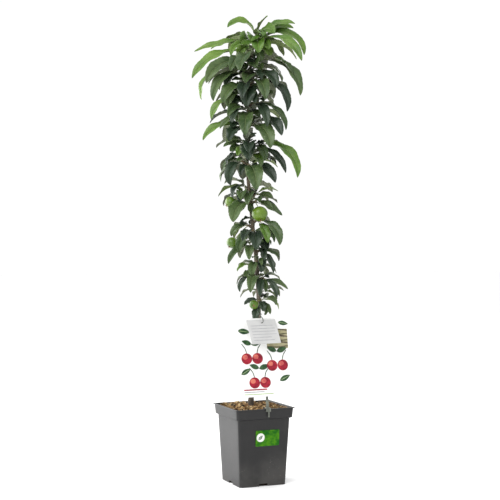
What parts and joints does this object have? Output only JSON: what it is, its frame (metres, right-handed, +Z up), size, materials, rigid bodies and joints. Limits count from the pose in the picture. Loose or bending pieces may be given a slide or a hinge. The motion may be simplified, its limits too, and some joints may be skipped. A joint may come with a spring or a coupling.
{
  "type": "dwarf apple tree in a pot",
  "caption": "Columnar dwarf apple tree with leafy spurs and green fruit, in a square dark nursery pot with bark mulch, a clip-on picture card and a hang tag.",
  "frame": {"origin": "middle of the pot's flat underside", "axes": "+Z up along the tree; the pot side with the card and sticker faces -Y"},
  "size_m": [0.2926, 0.2583, 1.2559],
  "materials": {
    "pot_plastic": "thin moulded charcoal plastic, satin, dusty",
    "mulch": "rough bark chips over potting mix",
    "bark": "thin grey-brown bark",
    "leaf": "soft satin leaves, paler underneath",
    "card_board": null,
    "clip_plastic": "grey-green plastic strip",
    "tag_plastic": "thin matt plastic film with plain grey lines",
    "tie_plastic": "dark plastic tie",
    "label": "coated green sticker"
  },
  "bodies": {
    "root": {"pot": "pot_plastic", "bark_mulch": "mulch", "trunk": "bark", "card_clip": "clip_plastic", "picture_card": "card_board", "hang_tag": "tag_plastic", "tag_tie": "tie_plastic", "pot_sticker": "label", "spur_01": "leaf", "spur_02": "leaf", "spur_03": "leaf", "spur_04": "leaf", "spur_05": "leaf", "spur_06": "leaf", "spur_07": "leaf", "spur_08": "leaf", "spur_09": "leaf", "spur_10": "leaf", "spur_11": "leaf", "spur_12": "leaf", "spur_13": "leaf", "spur_14": "leaf", "spur_15": "leaf", "spur_16": "leaf", "spur_17": "leaf", "spur_18": "leaf", "spur_19": "leaf", "spur_20": "leaf", "spur_21": "leaf", "spur_22": "leaf", "spur_23": "leaf", "spur_24": "leaf", "spur_25": "leaf", "spur_26": "leaf", "spur_27": "leaf", "spur_28": "leaf", "spur_29": "leaf", "spur_30": "leaf", "spur_31": "leaf", "spur_32": "leaf", "spur_33": "leaf", "spur_34": "leaf", "crown_tip": "leaf"}
  },
  "joints": []
}
